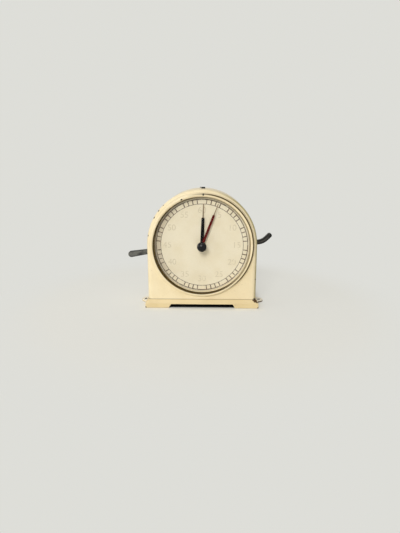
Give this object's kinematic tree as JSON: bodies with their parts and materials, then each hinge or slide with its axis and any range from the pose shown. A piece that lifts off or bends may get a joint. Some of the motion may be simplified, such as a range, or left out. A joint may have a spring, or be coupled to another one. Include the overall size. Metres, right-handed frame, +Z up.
{
  "type": "interval timer",
  "caption": "Clockwork seconds timer in an arched enamelled case on a flared plinth, with a preset pointer, a winding lever and a start/stop lever.",
  "frame": {"origin": "on the bench, midway between the two fixing holes in the plinth's ears", "axes": "X to the right as the dial is read, Y away from the viewer, Z up"},
  "size_m": [0.1616, 0.0641, 0.1271],
  "materials": {
    "cream_enamel": "stove-enamelled, slightly glossy, chipped at the edges",
    "dial_paint": "matt printed dial",
    "crystal": "clear domed crystal",
    "hand_black": "black lacquered",
    "pointer_red": "dark red lacquered",
    "knob_black": "moulded black, fluted",
    "lever_grey": "oxidised grey",
    "lever_black": "black oxidised",
    "brass": "rolled and lacquered",
    "steel": "turned",
    "blued_steel": "blued spring steel",
    "brake_leather": "small leather pad"
  },
  "bodies": {
    "case": {"case_shell": "cream_enamel", "plinth": "cream_enamel", "plinth_screws": "steel", "back_cover": "cream_enamel", "back_cover_screws": "steel", "oil_plug": "lever_black", "bezel": "cream_enamel", "glass": "crystal", "glass_bush": "brass", "knob_washer": "brass", "dial_ring": "cream_enamel", "dial": "dial_paint", "front_plate": "brass", "back_plate": "brass", "pillars": "steel", "pillar_screws": "steel", "movement_screws": "steel", "click_screws": "steel", "click_spring": "blued_steel", "lever_return_spring": "blued_steel", "spring_post": "steel", "hairspring_stud": "brass", "balance_screws": "steel", "stop_lever_post": "steel", "stop_lever_washer": "steel"},
    "seconds_train": {"seconds_hand": "hand_black", "centre_arbor": "steel", "centre_wheel": "brass"},
    "intermediate_train": {"intermediate_arbor": "steel", "intermediate_wheel": "brass"},
    "spring_barrel": {"barrel": "brass", "barrel_cover": "brass", "mainspring": "blued_steel"},
    "winding_arbor": {"barrel_arbor": "steel", "arbor_nut": "steel", "ratchet_wheel": "steel"},
    "winding_handle": {"winding_lever": "lever_black", "pawl_screw": "steel", "pawl_spring": "blued_steel"},
    "pawl": {"winding_pawl": "steel"},
    "click": {"click": "steel"},
    "escape_train": {"escape_arbor": "steel", "escape_wheel": "brass"},
    "pallets": {"pallet_arbor": "steel", "pallet_lever": "steel"},
    "balance": {"balance_staff": "steel", "balance_wheel": "brass", "balance_roller": "steel", "hairspring": "blued_steel"},
    "stop_handle": {"stop_lever": "lever_grey", "brake_pad": "brake_leather"},
    "preset": {"set_knob": "knob_black", "pointer_arbor": "steel", "set_pointer": "pointer_red"}
  },
  "joints": [
    {"name": "seconds_turn", "type": "hinge", "parent": "case", "child": "seconds_train", "pos_m": [0, -0.015, 0.0675], "axis": [0, 1, 0], "continuous": true},
    {"name": "intermediate_turn", "type": "hinge", "parent": "case", "child": "intermediate_train", "pos_m": [0.00559, -0.005, 0.08836], "axis": [0, 1, 0], "continuous": true},
    {"name": "barrel_turn", "type": "hinge", "parent": "case", "child": "spring_barrel", "pos_m": [0.02489, -0.005, 0.07217], "axis": [0, 1, 0], "continuous": true, "deforming": ["mainspring"]},
    {"name": "escape_turn", "type": "hinge", "parent": "case", "child": "escape_train", "pos_m": [-0.01905, -0.005, 0.0785], "axis": [0, 1, 0], "continuous": true},
    {"name": "balance_swing", "type": "hinge", "parent": "case", "child": "balance", "pos_m": [-0.02774, 0.003, 0.05463], "axis": [0, 1, 0], "range_deg": [-120, 120], "stiffness_Nm_per_rad": 0.00014, "deforming": ["hairspring"]},
    {"name": "pallet_rock", "type": "hinge", "parent": "case", "child": "pallets", "pos_m": [-0.02261, -0.001, 0.06873], "axis": [0, 1, 0], "range_deg": [-3.5, 3.5]},
    {"name": "stop_lever_swing", "type": "hinge", "parent": "case", "child": "stop_handle", "pos_m": [-0.0465, 0.003, 0.058], "axis": [0, -1, 0], "range_deg": [0, 18]},
    {"name": "winding_press", "type": "hinge", "parent": "case", "child": "winding_handle", "pos_m": [0.02489, 0.017, 0.07217], "axis": [0, 1, 0], "range_deg": [0, 32], "stiffness_Nm_per_rad": 0.03, "springref_deg": -34.38, "deforming": ["lever_return_spring"]},
    {"name": "winding_arbor_turn", "type": "hinge", "parent": "case", "child": "winding_arbor", "pos_m": [0.02489, 0.011, 0.07217], "axis": [0, 1, 0], "range_deg": [0, 32]},
    {"name": "pawl_lift", "type": "hinge", "parent": "winding_handle", "child": "pawl", "pos_m": [0.03861, 0.0133, 0.06933], "axis": [0, -1, 0], "range_deg": [0, 10], "stiffness_Nm_per_rad": 0.002, "springref_deg": -17.19, "deforming": ["pawl_spring"]},
    {"name": "click_lift", "type": "hinge", "parent": "case", "child": "click", "pos_m": [0.01137, 0.0133, 0.07579], "axis": [0, -1, 0], "range_deg": [0, 10], "stiffness_Nm_per_rad": 0.002, "springref_deg": -17.19, "deforming": ["click_spring"]},
    {"name": "preset_turn", "type": "hinge", "parent": "case", "child": "preset", "pos_m": [0, -0.03, 0.0675], "axis": [0, 1, 0], "continuous": true}
  ],
  "couplings": [
    {"joint": "intermediate_turn", "follows": "seconds_turn", "ratio": -0.2},
    {"joint": "barrel_turn", "follows": "seconds_turn", "ratio": 0.04},
    {"joint": "escape_turn", "follows": "seconds_turn", "ratio": -10},
    {"joint": "pallet_rock", "follows": "balance_swing", "ratio": -0.029167},
    {"joint": "winding_arbor_turn", "follows": "winding_press", "ratio": 1}
  ]
}
